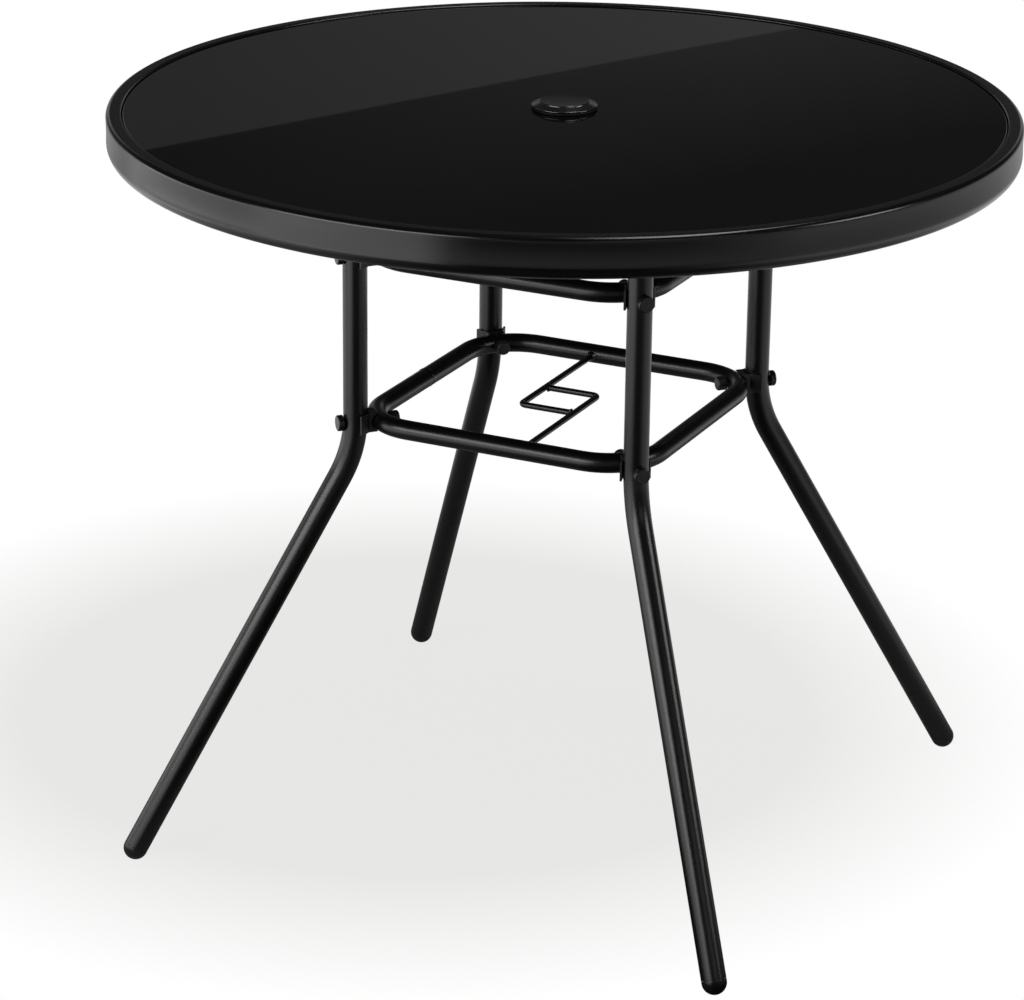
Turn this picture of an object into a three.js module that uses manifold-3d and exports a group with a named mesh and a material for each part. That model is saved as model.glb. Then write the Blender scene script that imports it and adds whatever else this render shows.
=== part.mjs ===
// Umbrella table: a round glass top in a rolled steel rim, on four bent tube legs
// that two bent tube loops tie together, with rods in the lower loop that hold the pole.
// Millimetres, +Z up, origin on the floor under the middle of the top.
// The loops' sides run along X and Y, and a leg stands outside each corner.

import * as THREE from "three";
import { mergeVertices } from "three/addons/utils/BufferGeometryUtils.js";
import Module from "manifold-3d";

const wasm = await Module();
wasm.setup();

// Overall sizes
const topDiameter = 863.6;
const tableHeight = 723;
const touchGap = 0.3;

// Rim
const rimHeight = 39.3;
const rimSheet = 1.5;
const rimLipWidth = 14.4;
const rimLipRise = 2;
const rimArrisRadius = 2.5;
const rimLipInnerRadius = 2;
const rimLedgeDepth = 12;
const rimLedgeFillet = 1.8;
const rimHemRadius = 14.5;
const rimHemDepth = 19;

// Glass
const glassThickness = 5;
const glassEdgeGap = 0.8;
const glassEdgeRound = 1.5;
const glassHoleDiameter = 50;

// Umbrella hole ring and cap
const ringFlangeDiameter = 63;
const ringFlangeThickness = 2.2;
const ringEdgeRound = 0.8;
const ringWall = 2.6;
const ringCollarDrop = 9;
const capDiameter = 60;
const capRise = 4.6;
const capEdgeHeight = 1;
const capTopDiameter = 43;
const capTopBead = 1.1;
const capTopDish = 0.9;
const capWall = 2;
const capPlugDepth = 13;
const capPlugGap = 0.4;

// Cross rails under the glass
const railWidth = 18;
const railWall = 1.5;
const railDrop = 12.5;
const railCornerRadius = 2;
const padDiameter = 14;
const padPlaceShare = 0.72;

// Loops and pole guide
const loopTube = 19;
const loopWall = 1.2;
const loopHalfSide = 146;
const loopBendRadius = 55;
const upperLoopDrop = 128.5;
const loopSpacing = 166;
const seamGap = 0.6;
const seamWeldWidth = 4;
const seamWeldRise = 0.25;
const guideRod = 6;
const guideOpening = 51;
const guideBendRadius = 6;

// Legs, foot plugs and top plugs
const legTube = 23.6;
const legWall = 1.4;
const legBendDrop = 26.5;
const legBendRadius = 120;
const footReach = 433.5;
const footFlatDepth = 0.7;
const footCollar = 2;
const plugLength = 22;
const plugWall = 1.6;
const topPlugFlange = 2;

// Saddles, bolts and nuts
const saddleWing = 2;
const saddleHeight = 19;
const saddleWingLength = 6.6;
const saddleBlockWidth = 17;
const saddleLoopWrap = 5.6;
const boltShank = 6;
const boltHoleGap = 0.4;
const boltHeadDiameter = 15.5;
const boltHeadHeight = 5.6;
const boltHeadRound = 1.4;
const nutDiameter = 14;
const nutHeight = 9.5;
const nutRound = 2;
const nutBoreDepth = 5;
const topBoltHeadDiameter = 13;
const topBoltHeadHeight = 3;
const topBoltHeadRound = 1;
const topBoltLength = 36;

// Facet counts
const topFacets = 64;
const ringFacets = 28;
const legFacets = 12;
const loopFacets = 12;
const boreFacets = 8;
const rodFacets = 8;
const fastenerFacets = 10;
const rimHemSteps = 3;
const rimArrisSteps = 2;
const legBendSteps = 6;
const loopBendSteps = 5;
const rodBendSteps = 3;
const saddleBendSteps = 3;
const domeSteps = 3;

// Cut tools run past what they cut by this much.
const cutOverrun = 2;

// Sizes worked out from the ones above
const topRadius = topDiameter / 2;
const legRadius = legTube / 2;
const loopRadius = loopTube / 2;
const rodRadius = guideRod / 2;
const boltHoleRadius = boltShank / 2 + boltHoleGap;
const rimBottom = tableHeight - rimHeight;
const glassTopZ = tableHeight - rimLipRise;
const glassBottomZ = glassTopZ - glassThickness;
const railTop = tableHeight - railDrop;
const railBottom = railTop - railWidth;
const upperLoopHeight = tableHeight - upperLoopDrop;
const lowerLoopHeight = upperLoopHeight - loopSpacing;
const legBendHeight = lowerLoopHeight - legBendDrop;
const loopCornerReach = loopHalfSide * Math.SQRT2 - loopBendRadius * (Math.SQRT2 - 1);
const saddleInnerRadius = legRadius + touchGap;
const legReach = loopCornerReach + loopRadius + touchGap + saddleWing + saddleInnerRadius;
const railOffset = legReach / Math.SQRT2;
const legTop = railBottom - topPlugFlange - 2 * touchGap;
const footCentreZ = legRadius - footFlatDepth;
const plugRadius = (legRadius - legWall) * Math.cos(Math.PI / legFacets) - touchGap;

// Materials
function finish(color, roughness, metalness) {
  return new THREE.MeshStandardMaterial({ color, roughness, metalness });
}

const paintedSteel = () => finish(0x1b1b1d, 0.42, 0.35);
const blackGlass = () => finish(0x0b0b0c, 0.06, 0);
const blackPlastic = () => finish(0x161617, 0.55, 0);
const blackOxide = () => finish(0x121213, 0.5, 0.6);
const softVinyl = () => finish(0x8c8f90, 0.6, 0);

// A run of straights and round bends, with stations only where the run starts,
// bends and ends. Every corner is { at, bend, steps }; the two ends have no bend.
class BentPath extends THREE.Curve {
  constructor(corners) {
    super();
    const last = corners.length - 1;
    this.stations = [{ point: corners[0].at, tangent: heading(corners[0], corners[1]) }];
    for (let i = 1; i < last; i += 1) {
      this.addBend(corners[i], heading(corners[i - 1], corners[i]), heading(corners[i], corners[i + 1]));
    }
    this.stations.push({ point: corners[last].at, tangent: heading(corners[last - 1], corners[last]) });
  }

  addBend(corner, incoming, outgoing) {
    const turn = incoming.angleTo(outgoing);
    const axis = incoming.clone().cross(outgoing).normalize();
    const start = corner.at.clone().addScaledVector(incoming, -corner.bend * Math.tan(turn / 2));
    const centre = start.clone().addScaledVector(axis.clone().cross(incoming), corner.bend);
    for (let step = 0; step <= corner.steps; step += 1) {
      const angle = (turn * step) / corner.steps;
      const point = start.clone().sub(centre).applyAxisAngle(axis, angle).add(centre);
      this.stations.push({ point, tangent: incoming.clone().applyAxisAngle(axis, angle) });
    }
  }

  get steps() {
    return this.stations.length - 1;
  }

  blend(t, key) {
    const place = t * this.steps;
    const index = Math.min(Math.floor(place), this.steps - 1);
    return this.stations[index][key].clone().lerp(this.stations[index + 1][key], place - index);
  }

  getPoint(t) {
    return this.blend(t, "point");
  }

  getTangent(t) {
    return this.blend(t, "tangent").normalize();
  }

  getPointAt(t) {
    return this.getPoint(t);
  }

  getTangentAt(t) {
    return this.getTangent(t);
  }
}

function heading(from, to) {
  return to.at.clone().sub(from.at).normalize();
}

function circlePoints(radius, facets) {
  const points = [];
  for (let i = 0; i < facets; i += 1) {
    const angle = (2 * Math.PI * (i + 0.5)) / facets;
    points.push(new THREE.Vector2(radius * Math.cos(angle), radius * Math.sin(angle)));
  }
  return points;
}

function bar(path, radius, facets) {
  const section = new THREE.Shape(circlePoints(radius, facets));
  return new THREE.ExtrudeGeometry(section, { steps: path.steps, extrudePath: path });
}

function tube(path, radius, wall, facets, innerFacets) {
  const section = new THREE.Shape(circlePoints(radius, facets));
  section.holes.push(new THREE.Path(circlePoints(radius - wall, innerFacets)));
  return new THREE.ExtrudeGeometry(section, { steps: path.steps, extrudePath: path });
}

// The outline of a bent strip of sheet, from the path along the middle of its thickness.
function stripOutline(path, thickness) {
  const face = (reach) => path.stations.map(({ point, tangent }) =>
    new THREE.Vector2(point.x - reach * tangent.y, point.y + reach * tangent.x));
  return [...face(thickness / 2), ...face(-thickness / 2).reverse()];
}

// How far a bend of a full turn in steps has swung sideways, this far past its start
function bendSwing(radius, past, turn, steps) {
  const sagitta = radius * (1 - Math.cos(turn / (2 * steps)));
  return radius - Math.sqrt(radius ** 2 - Math.max(past, 0) ** 2) + sagitta;
}

// Turns [radius, height] points about Z. The points may run either way round, and
// a profile that starts off the axis is closed.
function revolve(profile, facets) {
  const points = profile.map(([radius, height]) => new THREE.Vector2(radius, height));
  if (THREE.ShapeUtils.area(points) < 0) {
    points.reverse();
  }
  if (points[0].x > 0) {
    points.push(points[0].clone());
  }
  return new THREE.LatheGeometry(points, facets).rotateX(Math.PI / 2);
}

// Points on a quarter round from [radius, height] in steps, about a centre.
function quarterRound(centreRadius, centreHeight, size, fromAngle, toAngle, steps) {
  const points = [];
  for (let step = 0; step <= steps; step += 1) {
    const angle = fromAngle + ((toAngle - fromAngle) * step) / steps;
    points.push([centreRadius + size * Math.cos(angle), centreHeight + size * Math.sin(angle)]);
  }
  return points;
}

// Solids for cutting and joining
function toSolid(geometry) {
  const bare = geometry.clone();
  bare.deleteAttribute("normal");
  bare.deleteAttribute("uv");
  const merged = mergeVertices(bare);
  return new wasm.Manifold(new wasm.Mesh({
    numProp: 3,
    vertProperties: new Float32Array(merged.attributes.position.array),
    triVerts: new Uint32Array(merged.index.array),
  }));
}

function toGeometry(solid) {
  const mesh = solid.getMesh();
  const geometry = new THREE.BufferGeometry();
  geometry.setAttribute("position", new THREE.BufferAttribute(mesh.vertProperties, 3));
  geometry.setIndex(new THREE.BufferAttribute(mesh.triVerts, 1));
  const faceted = geometry.toNonIndexed();
  faceted.computeVertexNormals();
  return faceted;
}

// A drill along X for a bolt, centred at a point.
function boltDrill(x, y, z, length) {
  const drill = new THREE.CylinderGeometry(boltHoleRadius, boltHoleRadius, length, boreFacets);
  return toSolid(drill.rotateZ(Math.PI / 2).translate(x, y, z));
}

function uprightDrill(x, y, z, length) {
  const drill = new THREE.CylinderGeometry(boltHoleRadius, boltHoleRadius, length, boreFacets);
  return toSolid(drill.rotateX(Math.PI / 2).translate(x, y, z));
}

function drilled(geometry, drills) {
  return toGeometry(drills.reduce((solid, drill) => solid.subtract(drill), toSolid(geometry)));
}

const at = (x, y, z) => new THREE.Vector3(x, y, z);

// Rim: one strip of sheet from the hem, up the outer wall, over the lip and down to the ledge
function rimGeometry() {
  const half = rimSheet / 2;
  const wall = topRadius - half;
  const lip = topRadius - rimLipWidth + half;
  const ledge = glassBottomZ - touchGap - half;
  const path = new BentPath([
    { at: at(topRadius - rimHemDepth, rimBottom + half, 0) },
    { at: at(wall, rimBottom + half, 0), bend: rimHemRadius - half, steps: rimHemSteps },
    { at: at(wall, tableHeight - half, 0), bend: rimArrisRadius - half, steps: rimArrisSteps },
    { at: at(lip, tableHeight - half, 0), bend: rimLipInnerRadius - half, steps: 1 },
    { at: at(lip, ledge, 0), bend: rimLedgeFillet, steps: 1 },
    { at: at(lip - rimLedgeDepth, ledge, 0) },
  ]);
  return revolve(stripOutline(path, rimSheet).map(({ x, y }) => [x, y]), topFacets);
}

// Glass: rounded edges, and two rings across its top face that part the face
// under the ring's flange, the open middle and the band beside the lip.
function glassGeometry() {
  const edge = topRadius - rimLipWidth - glassEdgeGap;
  const hole = glassHoleDiameter / 2;
  const flangeBand = ringFlangeDiameter / 2 + glassThickness;
  const lipBand = edge - rimLipWidth;
  return revolve([
    [hole, glassBottomZ + glassEdgeRound],
    [hole + glassEdgeRound, glassBottomZ],
    [edge - glassEdgeRound, glassBottomZ],
    [edge, glassBottomZ + glassEdgeRound],
    [edge, glassTopZ - glassEdgeRound],
    [edge - glassEdgeRound, glassTopZ],
    [lipBand, glassTopZ],
    [flangeBand, glassTopZ],
    [hole + glassEdgeRound, glassTopZ],
    [hole, glassTopZ - glassEdgeRound],
  ], topFacets);
}

// Ring: a flange on the glass and a collar through it
const collarRadius = glassHoleDiameter / 2 - touchGap;
const ringBore = collarRadius - ringWall;
const flangeBottomZ = glassTopZ + touchGap;
const flangeTopZ = flangeBottomZ + ringFlangeThickness;

function ringGeometry() {
  const flange = ringFlangeDiameter / 2;
  const collarBottom = glassBottomZ - ringCollarDrop;
  return revolve([
    [ringBore, collarBottom],
    [collarRadius, collarBottom],
    [collarRadius, flangeBottomZ],
    [flange - ringEdgeRound, flangeBottomZ],
    [flange, flangeBottomZ + ringEdgeRound],
    [flange - ringEdgeRound, flangeTopZ],
    [ringBore, flangeTopZ],
  ], ringFacets);
}

// Cap: a squat cover with a dished top and a hollow plug that drops into the ring
function capGeometry() {
  const bottom = flangeTopZ + touchGap;
  const top = bottom + capRise;
  const rim = capDiameter / 2;
  const bead = capTopDiameter / 2;
  const shoulder = rim - bead;
  const shoulderRise = capRise - capEdgeHeight - capTopBead / 2;
  const plug = ringBore - capPlugGap;
  const profile = [
    [0, top - capTopDish],
    [bead - capTopBead, top - capTopBead / 2],
    [bead - capTopBead / 2, top],
  ];
  for (let step = 0; step <= domeSteps; step += 1) {
    const angle = (Math.PI / 2) * (1 - step / domeSteps);
    const height = capEdgeHeight + shoulderRise * Math.sin(angle);
    profile.push([bead + shoulder * Math.cos(angle), bottom + height]);
  }
  profile.push([rim, bottom], [plug, bottom], [plug, bottom - capPlugDepth]);
  profile.push([plug - capWall, bottom - capPlugDepth], [plug - capWall, bottom], [0, bottom]);
  return revolve(profile, ringFacets);
}

// Cross rail: a square tube along X, cut round to the rim's wall and bored for the top bolts.
// Its ends stop short of the hem's round, or of the whole hem where they would meet its flat.
function railGeometry() {
  const hemInner = rimHemRadius - rimSheet;
  const past = rimBottom + rimHemRadius - railBottom;
  const meetsFlat = past > hemInner - touchGap;
  const inset = meetsFlat ? rimHemDepth : bendSwing(hemInner, past, Math.PI / 2, rimHemSteps);
  const span = topRadius - rimSheet - touchGap - inset;
  const outline = roundedSquare(railWidth, railCornerRadius);
  outline.holes.push(roundedSquare(railWidth - 2 * railWall, railCornerRadius - railWall));
  const square = new THREE.ExtrudeGeometry(outline, { depth: 2 * span, bevelEnabled: false });
  square.rotateY(Math.PI / 2).translate(-span, railOffset, railTop - railWidth / 2);
  const round = new THREE.CylinderGeometry(span, span, railWidth + cutOverrun, topFacets);
  round.rotateX(Math.PI / 2).translate(0, 0, railTop - railWidth / 2);
  const cut = toSolid(square).intersect(toSolid(round));
  const drills = [-1, 1].map((side) =>
    uprightDrill(side * railOffset, railOffset, railTop - railWidth / 2, railWidth + cutOverrun));
  return toGeometry(drills.reduce((solid, drill) => solid.subtract(drill), cut));
}

function roundedSquare(side, radius) {
  const half = side / 2;
  const inner = half - radius;
  const shape = new THREE.Shape();
  shape.moveTo(inner, -half);
  shape.lineTo(half, -inner);
  shape.lineTo(half, inner);
  shape.lineTo(inner, half);
  shape.lineTo(-inner, half);
  shape.lineTo(-half, inner);
  shape.lineTo(-half, -inner);
  shape.lineTo(-inner, -half);
  shape.closePath();
  return shape;
}

function padGeometry() {
  const height = glassBottomZ - railTop - 2 * touchGap;
  const pad = new THREE.CylinderGeometry(padDiameter / 2, padDiameter / 2, height, fastenerFacets);
  return pad.rotateX(Math.PI / 2);
}

// Loop: one tube bent round a square, its ends welded together in the middle of the -X side
function loopGeometry(height) {
  const corner = (x, y) => ({ at: at(x, y, height), bend: loopBendRadius, steps: loopBendSteps });
  const path = new BentPath([
    { at: at(-loopHalfSide, -seamGap / 2, height) },
    corner(-loopHalfSide, -loopHalfSide),
    corner(loopHalfSide, -loopHalfSide),
    corner(loopHalfSide, loopHalfSide),
    corner(-loopHalfSide, loopHalfSide),
    { at: at(-loopHalfSide, seamGap / 2, height) },
  ]);
  const seam = new BentPath([
    { at: at(-loopHalfSide, -seamWeldWidth / 2, height) },
    { at: at(-loopHalfSide, seamWeldWidth / 2, height) },
  ]);
  const run = toSolid(tube(path, loopRadius, loopWall, loopFacets, boreFacets));
  const weldWall = loopWall + 2 * seamWeldRise;
  const weld = toSolid(tube(seam, loopRadius + seamWeldRise, weldWall, loopFacets, boreFacets));
  let loop = run.add(weld);
  for (let i = 0; i < 4; i += 1) {
    const drill = boltDrill(loopCornerReach, 0, height, loopTube + cutOverrun);
    loop = loop.subtract(drill.rotate([0, 0, 45 + 90 * i]));
  }
  return toGeometry(loop);
}

// Pole guide rod: along Y from the +Y side of the lower loop, then back along X
// to the other rod, which is this one turned half round.
function guideRodGeometry() {
  const offset = (guideOpening + guideRod) / 2;
  const bend = { bend: guideBendRadius, steps: rodBendSteps };
  const path = new BentPath([
    { at: at(-offset, loopHalfSide - loopRadius - touchGap, lowerLoopHeight) },
    { at: at(-offset, -offset, lowerLoopHeight), ...bend },
    { at: at(offset - rodRadius - touchGap, -offset, lowerLoopHeight) },
  ]);
  return bar(path, rodRadius, rodFacets);
}

// Leg: upright past both loops, bent below the lower one and splayed to the foot
const legDown = at(legReach, 0, legBendHeight);
const footCentre = at(footReach, 0, footCentreZ);
const splay = footCentre.clone().sub(legDown).normalize();
const legEnd = footCentre.clone().addScaledVector(splay, -footCollar - touchGap);

// How far the bend has swung the leg's outside outwards at a height
function legSwing(height) {
  const turn = splay.angleTo(at(0, 0, -1));
  const bendStart = legBendHeight + legBendRadius * Math.tan(turn / 2);
  return bendSwing(legBendRadius, bendStart - height, turn, legBendSteps);
}

function legGeometry() {
  const path = new BentPath([
    { at: at(legReach, 0, legTop) },
    { at: legDown, bend: legBendRadius, steps: legBendSteps },
    { at: legEnd },
  ]);
  const length = legTube + cutOverrun;
  const drills = [lowerLoopHeight, upperLoopHeight].map((z) => boltDrill(legReach, 0, z, length));
  return drilled(tube(path, legRadius, legWall, legFacets, legFacets), drills);
}

// Foot plug: a hollow plug up the tube, a collar and a dome, worn flat where it stands
function footGeometry() {
  const dome = quarterRound(0, 0, legRadius, 0, -Math.PI / 2, domeSteps).slice(0, -1);
  const foot = revolve([
    [0, 0],
    [plugRadius - plugWall, 0],
    [plugRadius - plugWall, footCollar + plugLength],
    [plugRadius, footCollar + plugLength],
    [plugRadius, footCollar],
    [legRadius, footCollar],
    ...dome,
    [0, -legRadius],
  ], legFacets);
  foot.applyQuaternion(new THREE.Quaternion().setFromUnitVectors(at(0, 0, -1), splay));
  foot.translate(footCentre.x, footCentre.y, footCentre.z);
  return toGeometry(toSolid(foot).trimByPlane([0, 0, 1], 0));
}

// Top plug: a flange between leg and rail, and a body down the tube, bored for the top bolt
function topPlugGeometry() {
  const flangeBottom = legTop + touchGap;
  return revolve([
    [boltHoleRadius, flangeBottom - plugLength],
    [plugRadius, flangeBottom - plugLength],
    [plugRadius, flangeBottom],
    [legRadius, flangeBottom],
    [legRadius, flangeBottom + topPlugFlange],
    [boltHoleRadius, flangeBottom + topPlugFlange],
  ], legFacets);
}

// Saddle: a moulded block with wings, hollowed on one side to the leg and on the other
// to the middle straight of the loop's corner
function saddleGeometry() {
  const middle = saddleInnerRadius + saddleWing / 2;
  const wrap = Math.PI / 3;
  const spread = middle * Math.tan(wrap / 2);
  const tip = (side) => at(
    -middle * Math.cos(wrap) + saddleWingLength * Math.sin(wrap),
    side * (middle * Math.sin(wrap) + saddleWingLength * Math.cos(wrap)),
    0,
  );
  const path = new BentPath([
    { at: tip(1) },
    { at: at(-middle, spread, 0), bend: middle, steps: saddleBendSteps },
    { at: at(-middle, -spread, 0), bend: middle, steps: saddleBendSteps },
    { at: tip(-1) },
  ]);
  const strip = stripOutline(path, saddleWing);
  const back = loopCornerReach + loopRadius - saddleLoopWrap - legReach;
  const blockBack = [-1, 1].map((side) => new THREE.Vector2(back, (side * saddleBlockWidth) / 2));
  const wingEnd = path.steps + 1 + saddleBendSteps;
  const outline = new THREE.Shape([
    ...strip.slice(0, wingEnd),
    ...blockBack,
    ...strip.slice(-saddleBendSteps),
  ]);
  const block = new THREE.ExtrudeGeometry(outline, { depth: saddleHeight, bevelEnabled: false });
  block.translate(0, 0, -saddleHeight / 2);
  const cornerSag = loopBendRadius * (1 - Math.cos(Math.PI / (4 * loopBendSteps)));
  const hollowRadius = loopRadius + touchGap;
  const hollow = new THREE.CylinderGeometry(
    hollowRadius,
    hollowRadius,
    saddleBlockWidth + 2 * cutOverrun,
    loopFacets,
    1,
    false,
    Math.PI / loopFacets,
  );
  hollow.translate(loopCornerReach - cornerSag - legReach, 0, 0);
  return drilled(block, [toSolid(hollow), boltDrill(-middle, 0, 0, saddleWing + saddleInnerRadius)]);
}

// Through bolt: from its head on the leg's outside to the nut inside the loop's corner.
// Its middle is on the leg's axis, and its shank points to -X.
const nutSeat = loopCornerReach - loopRadius - touchGap;
const headSeat = legReach + legRadius + touchGap + legSwing(lowerLoopHeight - boltHeadDiameter / 2);

function boltGeometry() {
  const head = boltHeadDiameter / 2;
  const shank = boltShank / 2;
  const tip = legReach - nutSeat + nutBoreDepth - touchGap;
  const seat = headSeat - legReach;
  const bolt = revolve([
    [0, -tip],
    [shank, -tip],
    [shank, seat],
    [head, seat],
    [head, seat + boltHeadHeight - boltHeadRound],
    [head - boltHeadRound, seat + boltHeadHeight],
    [0, seat + boltHeadHeight],
  ], fastenerFacets);
  return bolt.rotateY(Math.PI / 2);
}

// Cap nut: a rounded blind nut whose open face seats inside the loop's corner
function nutGeometry() {
  const outer = nutDiameter / 2;
  const nut = revolve([
    [0, -nutHeight],
    [outer - nutRound, -nutHeight],
    [outer, -nutHeight + nutRound],
    [outer, 0],
    [boltHoleRadius, 0],
    [boltHoleRadius, -nutBoreDepth],
    [0, -nutBoreDepth],
  ], fastenerFacets);
  return nut.rotateY(Math.PI / 2);
}

// Top bolt: down through the rail into the top plug
function topBoltGeometry() {
  const head = topBoltHeadDiameter / 2;
  const shank = boltShank / 2;
  const seat = railTop + touchGap;
  return revolve([
    [0, seat - topBoltLength],
    [shank, seat - topBoltLength],
    [shank, seat],
    [head, seat],
    [head, seat + topBoltHeadHeight - topBoltHeadRound],
    [head - topBoltHeadRound, seat + topBoltHeadHeight],
    [0, seat + topBoltHeadHeight],
  ], fastenerFacets);
}

// Assembly
const table = new THREE.Group();

function addPart(parent, name, geometry, material) {
  const mesh = new THREE.Mesh(geometry, material);
  mesh.name = name;
  parent.add(mesh);
  return mesh;
}

addPart(table, "tabletop_rim", rimGeometry(), paintedSteel());
addPart(table, "glass_top", glassGeometry(), blackGlass());
addPart(table, "umbrella_ring", ringGeometry(), blackPlastic());
addPart(table, "umbrella_cap", capGeometry(), blackPlastic());
addPart(table, "upper_loop", loopGeometry(upperLoopHeight), paintedSteel());
addPart(table, "lower_loop", loopGeometry(lowerLoopHeight), paintedSteel());

const railShape = railGeometry();
const padShape = padGeometry();
const rodShape = guideRodGeometry();
const padReach = padPlaceShare * Math.sqrt(topRadius ** 2 - railOffset ** 2);
["back", "front"].forEach((side, i) => {
  addPart(table, `cross_rail_${side}`, railShape, paintedSteel()).rotation.z = i * Math.PI;
  addPart(table, `pole_guide_rod_${side}`, rodShape, paintedSteel()).rotation.z = i * Math.PI;
  const padLine = i === 0 ? railOffset : -railOffset;
  [["left", -padReach], ["right", padReach]].forEach(([end, x]) => {
    const pad = addPart(table, `glass_pad_${side}_${end}`, padShape, softVinyl());
    pad.position.set(x, padLine, (railTop + glassBottomZ) / 2);
  });
});

const legShape = legGeometry();
const footShape = footGeometry();
const topPlugShape = topPlugGeometry();
const topBoltShape = topBoltGeometry();
const saddleShape = saddleGeometry();
const boltShape = boltGeometry();
const nutShape = nutGeometry();
["back_right", "back_left", "front_left", "front_right"].forEach((corner, i) => {
  const stand = new THREE.Group();
  stand.rotation.z = Math.PI / 4 + (i * Math.PI) / 2;
  table.add(stand);
  addPart(stand, `leg_${corner}`, legShape, paintedSteel());
  addPart(stand, `foot_${corner}`, footShape, blackPlastic());
  addPart(stand, `top_plug_${corner}`, topPlugShape, blackPlastic()).position.x = legReach;
  addPart(stand, `top_bolt_${corner}`, topBoltShape, blackOxide()).position.x = legReach;
  [["upper", upperLoopHeight], ["lower", lowerLoopHeight]].forEach(([level, z]) => {
    addPart(stand, `saddle_${level}_${corner}`, saddleShape, blackPlastic()).position.set(legReach, 0, z);
    addPart(stand, `bolt_${level}_${corner}`, boltShape, blackOxide()).position.set(legReach, 0, z);
    addPart(stand, `nut_${level}_${corner}`, nutShape, blackPlastic()).position.set(nutSeat, 0, z);
  });
});

export default table;
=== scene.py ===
# Umbrella table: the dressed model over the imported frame, in metres, +Z up.
# The loops' sides run along X and Y, and a leg stands outside each corner.
import math

import bpy
from mathutils import Matrix, Vector


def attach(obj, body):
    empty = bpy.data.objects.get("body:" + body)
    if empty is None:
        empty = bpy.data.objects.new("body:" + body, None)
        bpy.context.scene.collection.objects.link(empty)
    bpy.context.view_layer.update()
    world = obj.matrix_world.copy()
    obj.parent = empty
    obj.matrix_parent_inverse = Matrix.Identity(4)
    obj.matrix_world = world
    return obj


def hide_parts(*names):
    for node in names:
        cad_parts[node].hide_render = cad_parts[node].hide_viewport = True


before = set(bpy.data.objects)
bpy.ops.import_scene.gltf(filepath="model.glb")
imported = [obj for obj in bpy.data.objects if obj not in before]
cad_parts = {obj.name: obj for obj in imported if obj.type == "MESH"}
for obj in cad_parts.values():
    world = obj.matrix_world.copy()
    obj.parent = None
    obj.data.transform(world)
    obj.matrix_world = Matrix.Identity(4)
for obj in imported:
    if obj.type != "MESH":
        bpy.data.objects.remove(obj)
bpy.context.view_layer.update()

MM = 0.001

# Sizes in millimetres, as in the part's source
GAP = 0.3
TOP_RADIUS = 431.8
TOP_Z = 723.0
RIM_HEIGHT = 39.3
RIM_SHEET = 1.5
RIM_LIP = 14.4
RIM_LIP_RISE = 2.0
RIM_LIP_INNER = 2.0
RIM_LEDGE = 12.0
RIM_LEDGE_FILLET = 1.8
RIM_HEM_DEPTH = 19.0
SOLID_HEM_RADIUS = 14.5
SOLID_HEM_STEPS = 3
GLASS = 5.0
GLASS_HOLE = 25.0
GLASS_EDGE_GAP = 0.8
RING_RADIUS = 31.5
RING_THICK = 2.2
RING_WALL = 2.6
RING_DROP = 9.0
CAP_WALL = 2.0
CAP_PLUG = 13.0
CAP_PLUG_GAP = 0.4
RAIL_WIDTH = 18.0
RAIL_WALL = 1.5
RAIL_DROP = 12.5
RAIL_ROUND = 2.0
PAD_RADIUS = 7.0
PAD_PLACE = 0.72
LOOP_RADIUS = 9.5
LOOP_HALF = 146.0
LOOP_BEND = 55.0
UPPER_DROP = 128.5
LOOP_SPACING = 166.0
ROD_RADIUS = 3.0
ROD_OPENING = 51.0
ROD_BEND = 6.0
LEG_RADIUS = 11.8
LEG_WALL = 1.4
LEG_BEND = 120.0
LEG_BEND_DROP = 26.5
SOLID_LEG_FACETS = 12
SOLID_LEG_STEPS = 6
FOOT_REACH = 433.5
FOOT_FLAT = 0.7
FOOT_COLLAR = 2.0
PLUG_LENGTH = 22.0
PLUG_FLANGE = 2.0
SADDLE = 2.0
SADDLE_HEIGHT = 19.0
SADDLE_WING = 6.6
SADDLE_BLOCK = 17.0
SADDLE_WRAP = 5.6
SHANK = 3.0
HOLE_GAP = 0.4
HEAD_RADIUS = 7.75
HEAD_HEIGHT = 5.6
HEAD_ROUND = 1.4
NUT_RADIUS = 7.0
NUT_HEIGHT = 9.5
NUT_ROUND = 2.0
NUT_BORE = 5.0
TOP_HEAD_RADIUS = 6.5
TOP_HEAD_HEIGHT = 3.0
TOP_HEAD_ROUND = 1.0
TOP_BOLT = 36.0

# Sizes in millimetres that differ from the solids' or stand in the dressed model alone
RIM_HEM_RADIUS = 12.2
RIM_ARRIS = 4.4
RIM_SWELL = 0.4
RIM_HOLLOW = 0.3
CAP_RADIUS = 31.2
CAP_RISE = 5.0
CAP_EDGE = 0.5
CAP_ROUND = 0.9
CAP_TOP = 24.0
CAP_BEAD = 1.6
CAP_BEAD_FOOT = 0.15
CAP_DISH = 0.4
FOOT_SEAM = 0.1
FOOT_PEG = 6.0
HEAD_CROWN = 0.3
NUT_CROWN = 0.1
NUT_SHOULDER = 0.2
SEAM_SINK = 0.3
SEAM_RISE = 0.65
SEAM_HALF = 2.1
SEAM_END = 2.2

# Small roundings in millimetres
TURNED_EDGE = 0.3
MOULDED_EDGE = 0.4
GLASS_EDGE = 1.2
RING_MOUTH_EDGE = 0.5
RING_FLANGE_EDGE = 0.9
CAP_PLUG_EDGE = 0.5
PAD_FOOT_EDGE = 0.6
PAD_CROWN_EDGE = 1.2
ROD_END_EDGE = 0.4
LEG_END_EDGE = 0.15
FOOT_EDGE = 0.2
BLOCK_EDGE = 0.5
BLOCK_EDGE_SLACK = 0.15

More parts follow.
